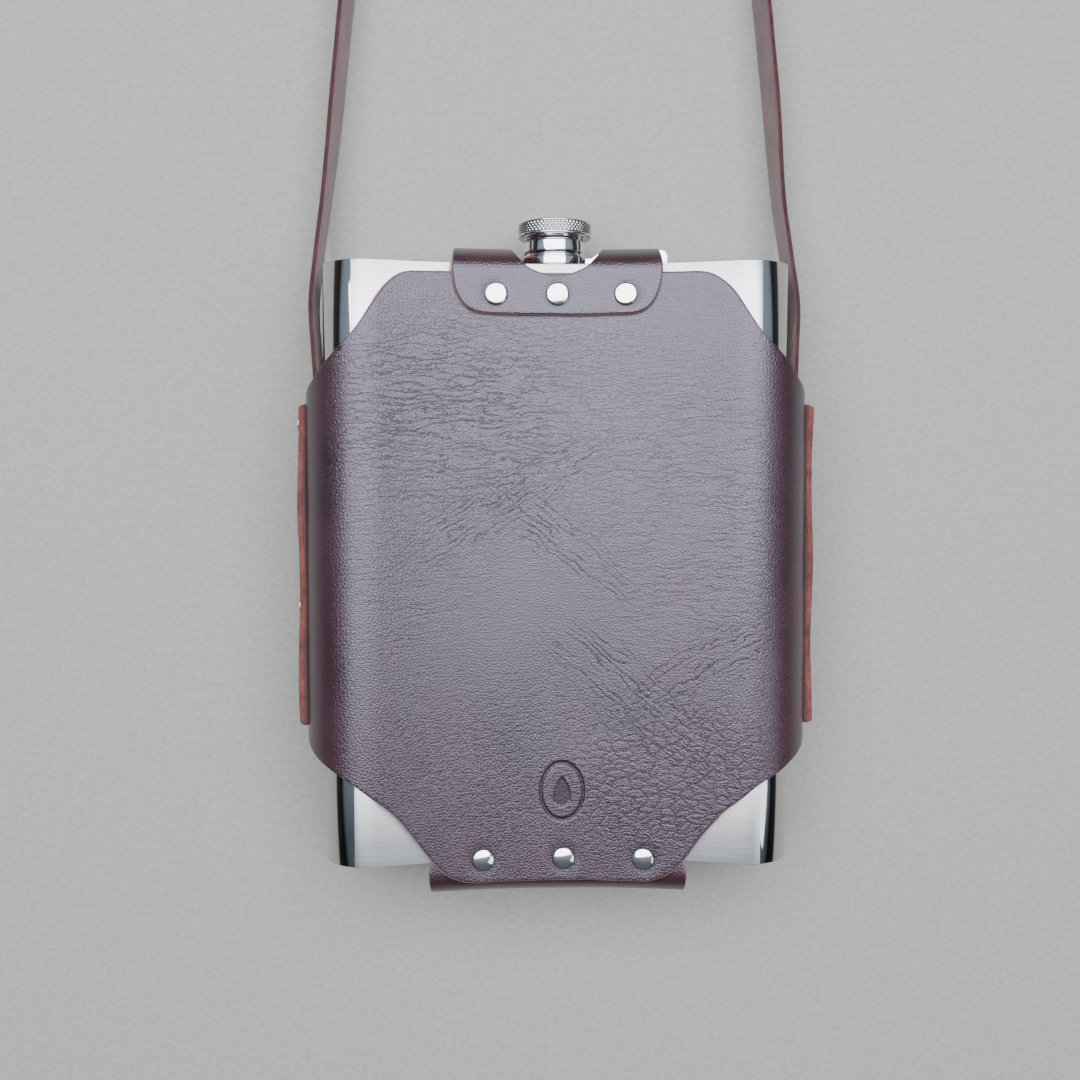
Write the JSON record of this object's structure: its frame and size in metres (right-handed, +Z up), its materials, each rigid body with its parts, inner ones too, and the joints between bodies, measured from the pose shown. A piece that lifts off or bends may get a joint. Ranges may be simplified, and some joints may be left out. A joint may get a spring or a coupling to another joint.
{
  "type": "hip flask in a leather sling",
  "caption": "Large curved steel hip flask with a captive screw cap, held in a riveted leather sling with a flat shoulder strap.",
  "frame": {"origin": "on the surface that the flask lies on, below the middle of its box without the shoulder strap", "axes": "+X across the flask to the hinge side, +Y from the foot to the cap, +Z up out of the hollow front"},
  "size_m": [0.2418, 0.5311, 0.0648],
  "materials": {
    "steel_wrap": "front and back brushed across, rounded sides mirror polished",
    "steel_plate": "satin",
    "neck_steel": "polished",
    "arm_steel": "polished",
    "cap_steel": "mirror polished with a diamond-knurled head",
    "liner_plastic": "plain",
    "panel_leather": "semi-gloss pebbled grain",
    "strap_leather": "grain outside, reddish flesh inside",
    "rivet_nickel": "nickel plated, domed"
  },
  "bodies": {
    "flask": {"flask_wrap": "steel_wrap", "top_plate": "steel_plate", "bottom_plate": "steel_plate", "neck": "neck_steel", "hinge_bracket": "arm_steel", "hinge_pin": "arm_steel", "front_panel": "panel_leather", "back_panel": "panel_leather", "collar_rivet_caps": "rivet_nickel", "collar_rivet_posts": "rivet_nickel", "tail_rivet_caps": "rivet_nickel", "tail_rivet_posts": "rivet_nickel", "left_rivet_caps": "rivet_nickel", "left_rivet_posts": "rivet_nickel", "right_rivet_caps": "rivet_nickel", "right_rivet_posts": "rivet_nickel", "shoulder_strap": "strap_leather"},
    "arm": {"captive_arm": "arm_steel"},
    "washer": {"retaining_washer": "arm_steel"},
    "cap": {"cap_barrel": "cap_steel", "cap_head": "cap_steel", "cap_liner": "liner_plastic"}
  },
  "joints": [
    {"name": "arm_swing", "type": "hinge", "parent": "flask", "child": "arm", "pos_m": [0.044, 0.12475, 0.0249], "axis": [0, 0, -1], "range_deg": [0, 130]},
    {"name": "cap_lift", "type": "slide", "parent": "arm", "child": "washer", "axis": [0, 1, 0], "range_m": [0, 0.0024]},
    {"name": "cap_turn", "type": "hinge", "parent": "washer", "child": "cap", "pos_m": [0, 0.13, 0.0249], "axis": [0, 1, 0], "range_deg": [0, 360]}
  ],
  "couplings": [
    {"joint": "cap_turn", "follows": "cap_lift", "rad_per_m": 2617}
  ]
}
